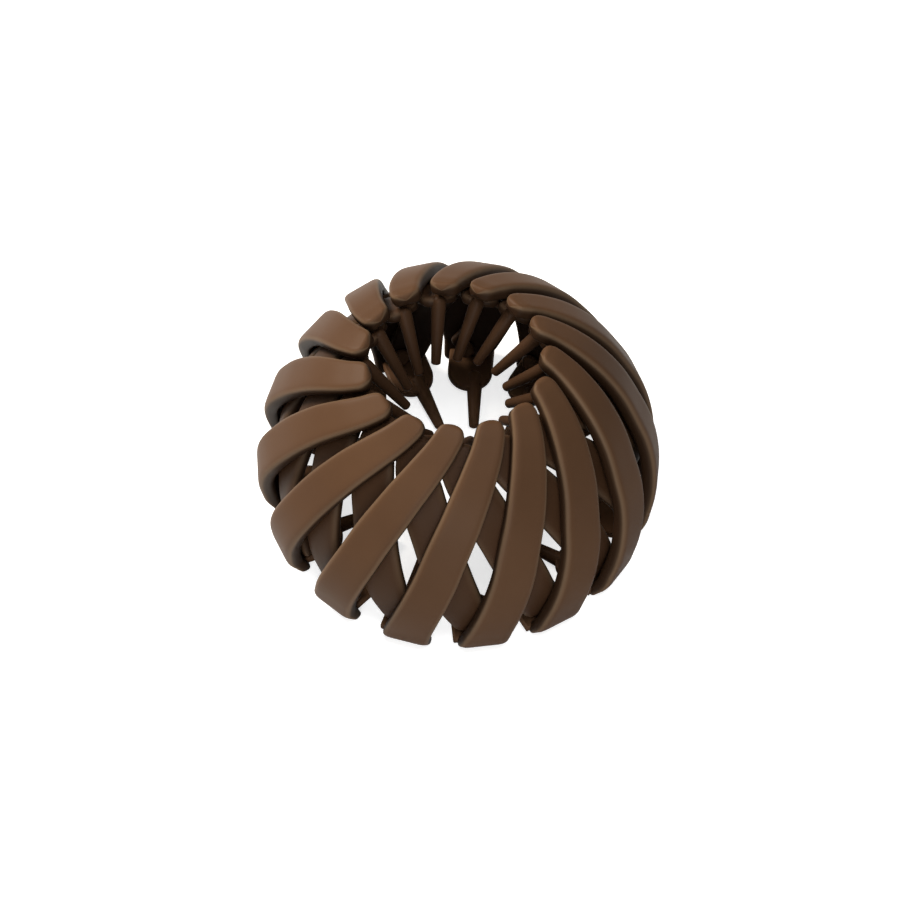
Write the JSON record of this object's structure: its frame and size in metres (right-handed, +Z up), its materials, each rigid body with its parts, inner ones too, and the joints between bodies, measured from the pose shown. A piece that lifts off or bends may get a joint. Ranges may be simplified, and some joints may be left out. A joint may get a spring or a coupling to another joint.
{
  "type": "expanding ring hair clip",
  "caption": "Expanding bun clip of matte brown plastic: a flared ring of leaning curved claws, pegged to inner bars that lean the other way, with inward teeth along both rims.",
  "frame": {"origin": "centre of the bounding box in plan, on the surface that the feet of the claws stand on", "axes": "+Z up along the axis of the hair passage, from the feet of the claws to their tips; the tip of claw 01 lies 5.5 degrees counter-clockwise from +X; -Y faces the camera"},
  "size_m": [0.075, 0.0746, 0.0454],
  "materials": {
    "claw_plastic": "satin moulded plastic, chocolate brown",
    "bar_plastic": "satin moulded plastic, chocolate brown"
  },
  "bodies": {
    "root": {"outer_claw_01": "claw_plastic", "outer_claw_02": "claw_plastic", "outer_claw_03": "claw_plastic", "outer_claw_04": "claw_plastic", "outer_claw_05": "claw_plastic", "outer_claw_06": "claw_plastic", "outer_claw_07": "claw_plastic", "outer_claw_08": "claw_plastic", "outer_claw_09": "claw_plastic", "outer_claw_10": "claw_plastic", "outer_claw_11": "claw_plastic", "outer_claw_12": "claw_plastic", "outer_claw_13": "claw_plastic", "outer_claw_14": "claw_plastic", "outer_claw_15": "claw_plastic", "inner_bar_01": "bar_plastic", "inner_bar_02": "bar_plastic", "inner_bar_03": "bar_plastic", "inner_bar_04": "bar_plastic", "inner_bar_05": "bar_plastic", "inner_bar_06": "bar_plastic", "inner_bar_07": "bar_plastic", "inner_bar_08": "bar_plastic", "inner_bar_09": "bar_plastic", "inner_bar_10": "bar_plastic", "inner_bar_11": "bar_plastic", "inner_bar_12": "bar_plastic", "inner_bar_13": "bar_plastic", "inner_bar_14": "bar_plastic", "inner_bar_15": "bar_plastic"}
  },
  "joints": []
}
